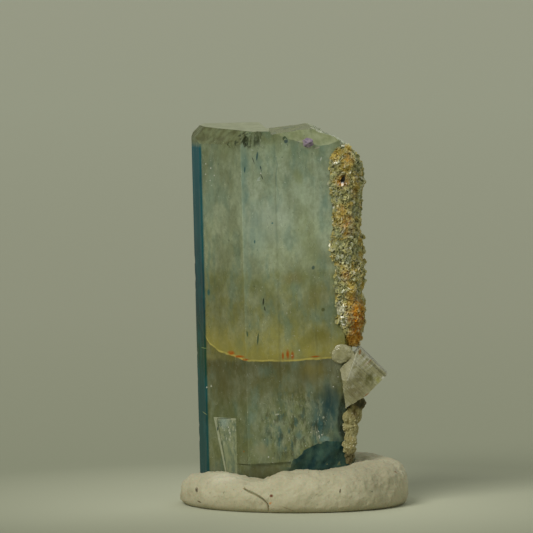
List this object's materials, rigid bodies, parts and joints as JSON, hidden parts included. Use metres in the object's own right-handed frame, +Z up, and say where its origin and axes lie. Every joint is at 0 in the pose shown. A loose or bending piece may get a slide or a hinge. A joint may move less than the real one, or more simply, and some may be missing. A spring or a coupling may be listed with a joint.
{
  "type": "aquamarine crystal with muscovite",
  "caption": "Upright six-sided aquamarine prism with a muscovite crust and book on its right edge, its foot held in a rolled ring of mounting putty.",
  "frame": {"origin": "bottom centre of the whole specimen's box, on the plane the putty ring rests on", "axes": "+Z up, close to the crystal's long axis; -Y is the front seen in the picture; +X is the side with the muscovite"},
  "size_m": [0.0284, 0.026, 0.0475],
  "materials": {
    "aquamarine": "gloss",
    "muscovite_flakes": "satin",
    "muscovite_sheets": "gloss",
    "matrix": "matte",
    "fluorite": "gloss",
    "putty": "matte"
  },
  "bodies": {
    "root": {"aquamarine": "aquamarine", "muscovite_crust": "muscovite_flakes", "muscovite_book": "muscovite_sheets", "matrix": "matrix", "fluorite_grain": "fluorite", "putty_ring": "putty"}
  },
  "joints": []
}
